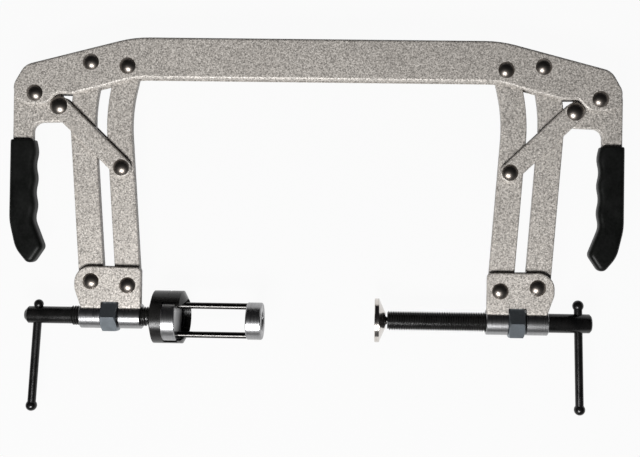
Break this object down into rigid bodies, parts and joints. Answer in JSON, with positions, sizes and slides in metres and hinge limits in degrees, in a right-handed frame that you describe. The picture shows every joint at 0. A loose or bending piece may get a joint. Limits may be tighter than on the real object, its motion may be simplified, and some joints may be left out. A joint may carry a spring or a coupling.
{
  "type": "valve spring compressor",
  "caption": "Two-handled valve spring compressor: toggle handles swing pairs of parallel arms that squeeze threaded spindles together.",
  "frame": {"origin": "under the middle of the tool's bounding box, on its lowest level", "axes": "+X to the right along the beam and the spindles, +Y from the spindles towards the beam, +Z out of the flat side towards the viewer"},
  "size_m": [0.5056, 0.3098, 0.0454],
  "materials": {
    "hammered_paint": "silver grey hammered paint",
    "rivet_steel": "polished dark steel",
    "grip_rubber": "dipped, glossy black",
    "black_oxide": "black oxide, lightly oiled",
    "zinc_plate": "blue zinc plate",
    "turned_steel": "turned, bright",
    "polished_steel": "polished",
    "dark_rod_steel": "ground and polished"
  },
  "bodies": {
    "frame": {"frame_plate_front": "hammered_paint", "frame_plate_rear": "hammered_paint", "frame_pivot_rivets": "rivet_steel"},
    "left_handle": {"left_handle": "hammered_paint", "left_handle_grip": "grip_rubber", "left_link_pin": "rivet_steel"},
    "left_link": {"left_link_front": "hammered_paint", "left_link_rear": "hammered_paint", "left_link_end_rivets": "rivet_steel"},
    "left_inner_arm": {"left_inner_arm": "hammered_paint"},
    "left_outer_arm": {"left_outer_arm": "hammered_paint"},
    "left_bracket": {"left_bracket_cheek_front": "hammered_paint", "left_bracket_cheek_rear": "hammered_paint", "left_bracket_sleeve_inner": "turned_steel", "left_bracket_sleeve_outer": "turned_steel", "left_captive_nut": "zinc_plate", "left_bracket_rivets": "rivet_steel"},
    "left_spindle": {"left_spindle": "black_oxide"},
    "left_tommy_bar": {"left_tommy_bar": "black_oxide"},
    "right_handle": {"right_handle": "hammered_paint", "right_handle_grip": "grip_rubber", "right_link_pin": "rivet_steel"},
    "right_link": {"right_link_front": "hammered_paint", "right_link_rear": "hammered_paint", "right_link_end_rivets": "rivet_steel"},
    "right_inner_arm": {"right_inner_arm": "hammered_paint"},
    "right_outer_arm": {"right_outer_arm": "hammered_paint"},
    "right_bracket": {"right_bracket_cheek_front": "hammered_paint", "right_bracket_cheek_rear": "hammered_paint", "right_bracket_sleeve_inner": "turned_steel", "right_bracket_sleeve_outer": "turned_steel", "right_captive_nut": "zinc_plate", "right_bracket_rivets": "rivet_steel"},
    "right_spindle": {"right_spindle": "black_oxide"},
    "right_tommy_bar": {"right_tommy_bar": "black_oxide"},
    "adapter": {"adapter_housing": "black_oxide"},
    "cage": {"pressure_collar": "turned_steel", "cage_rods": "dark_rod_steel", "cage_cap": "turned_steel"},
    "pad_carrier": {"pad_stud": "dark_rod_steel"},
    "pad": {"pad_disc": "polished_steel"}
  },
  "joints": [
    {"name": "left_handle_swing", "type": "hinge", "parent": "frame", "child": "left_handle", "pos_m": [-0.2314, 0.1081, 0.0217], "axis": [0, 0, -1], "range_deg": [0, 110]},
    {"name": "left_link_swing", "type": "hinge", "parent": "left_handle", "child": "left_link", "pos_m": [-0.2113, 0.0977, 0.0217], "axis": [0, 0, -1], "range_deg": [-122, 0]},
    {"name": "left_inner_arm_swing", "type": "hinge", "parent": "frame", "child": "left_inner_arm", "pos_m": [-0.1549, 0.1311, 0.0217], "axis": [0, 0, -1], "range_deg": [0, 20]},
    {"name": "left_outer_arm_swing", "type": "hinge", "parent": "frame", "child": "left_outer_arm", "pos_m": [-0.1852, 0.134, 0.0217], "axis": [0, 0, -1], "range_deg": [0, 20]},
    {"name": "left_bracket_swing", "type": "hinge", "parent": "left_inner_arm", "child": "left_bracket", "pos_m": [-0.1525, -0.0489, 0.0217], "axis": [0, 0, -1], "range_deg": [-20, 0]},
    {"name": "right_handle_swing", "type": "hinge", "parent": "frame", "child": "right_handle", "pos_m": [0.2314, 0.1081, 0.0217], "axis": [0, 0, 1], "range_deg": [0, 110]},
    {"name": "right_link_swing", "type": "hinge", "parent": "right_handle", "child": "right_link", "pos_m": [0.2113, 0.0977, 0.0217], "axis": [0, 0, 1], "range_deg": [-122, 0]},
    {"name": "right_inner_arm_swing", "type": "hinge", "parent": "frame", "child": "right_inner_arm", "pos_m": [0.1549, 0.1311, 0.0217], "axis": [0, 0, 1], "range_deg": [0, 20]},
    {"name": "right_outer_arm_swing", "type": "hinge", "parent": "frame", "child": "right_outer_arm", "pos_m": [0.1852, 0.134, 0.0217], "axis": [0, 0, 1], "range_deg": [0, 20]},
    {"name": "right_bracket_swing", "type": "hinge", "parent": "right_inner_arm", "child": "right_bracket", "pos_m": [0.1525, -0.0489, 0.0217], "axis": [0, 0, 1], "range_deg": [-20, 0]},
    {"name": "left_spindle_feed", "type": "slide", "parent": "left_bracket", "child": "adapter", "axis": [1, 0, 0], "range_m": [-0.004, 0.028]},
    {"name": "left_spindle_turn", "type": "hinge", "parent": "adapter", "child": "left_spindle", "pos_m": [-0.18, -0.0749, 0.0217], "axis": [1, 0, 0], "range_deg": [-720, 5040]},
    {"name": "right_spindle_feed", "type": "slide", "parent": "right_bracket", "child": "pad_carrier", "axis": [-1, 0, 0], "range_m": [-0.08, 0.016]},
    {"name": "right_spindle_turn", "type": "hinge", "parent": "pad_carrier", "child": "right_spindle", "pos_m": [0.15, -0.0749, 0.0217], "axis": [-1, 0, 0], "range_deg": [-14400, 2880]},
    {"name": "pad_tilt", "type": "hinge", "parent": "pad_carrier", "child": "pad", "pos_m": [0.0566, -0.0749, 0.0217], "axis": [0, 0, 1], "range_deg": [-6, 6]},
    {"name": "cage_slide", "type": "slide", "parent": "adapter", "child": "cage", "axis": [0, -0.2588, 0.9659], "range_m": [-0.0066, 0.036]},
    {"name": "left_tommy_slide", "type": "slide", "parent": "left_spindle", "child": "left_tommy_bar", "axis": [0.0605, 0.9982, 0], "range_m": [0, 0.033]},
    {"name": "right_tommy_slide", "type": "slide", "parent": "right_spindle", "child": "right_tommy_bar", "axis": [-0.0305, 0.9995, 0], "range_m": [-0.003, 0.059]}
  ],
  "couplings": [
    {"joint": "left_link_swing", "follows": "left_handle_swing", "ratio": -1.1009},
    {"joint": "left_inner_arm_swing", "follows": "left_handle_swing", "ratio": 0.18027},
    {"joint": "left_outer_arm_swing", "follows": "left_handle_swing", "ratio": 0.18027},
    {"joint": "left_bracket_swing", "follows": "left_handle_swing", "ratio": -0.18027},
    {"joint": "right_link_swing", "follows": "right_handle_swing", "ratio": -1.1009},
    {"joint": "right_inner_arm_swing", "follows": "right_handle_swing", "ratio": 0.18027},
    {"joint": "right_outer_arm_swing", "follows": "right_handle_swing", "ratio": 0.18027},
    {"joint": "right_bracket_swing", "follows": "right_handle_swing", "ratio": -0.18027},
    {"joint": "left_spindle_turn", "follows": "left_spindle_feed", "rad_per_m": 3141.6},
    {"joint": "right_spindle_turn", "follows": "right_spindle_feed", "rad_per_m": 3141.6}
  ]
}
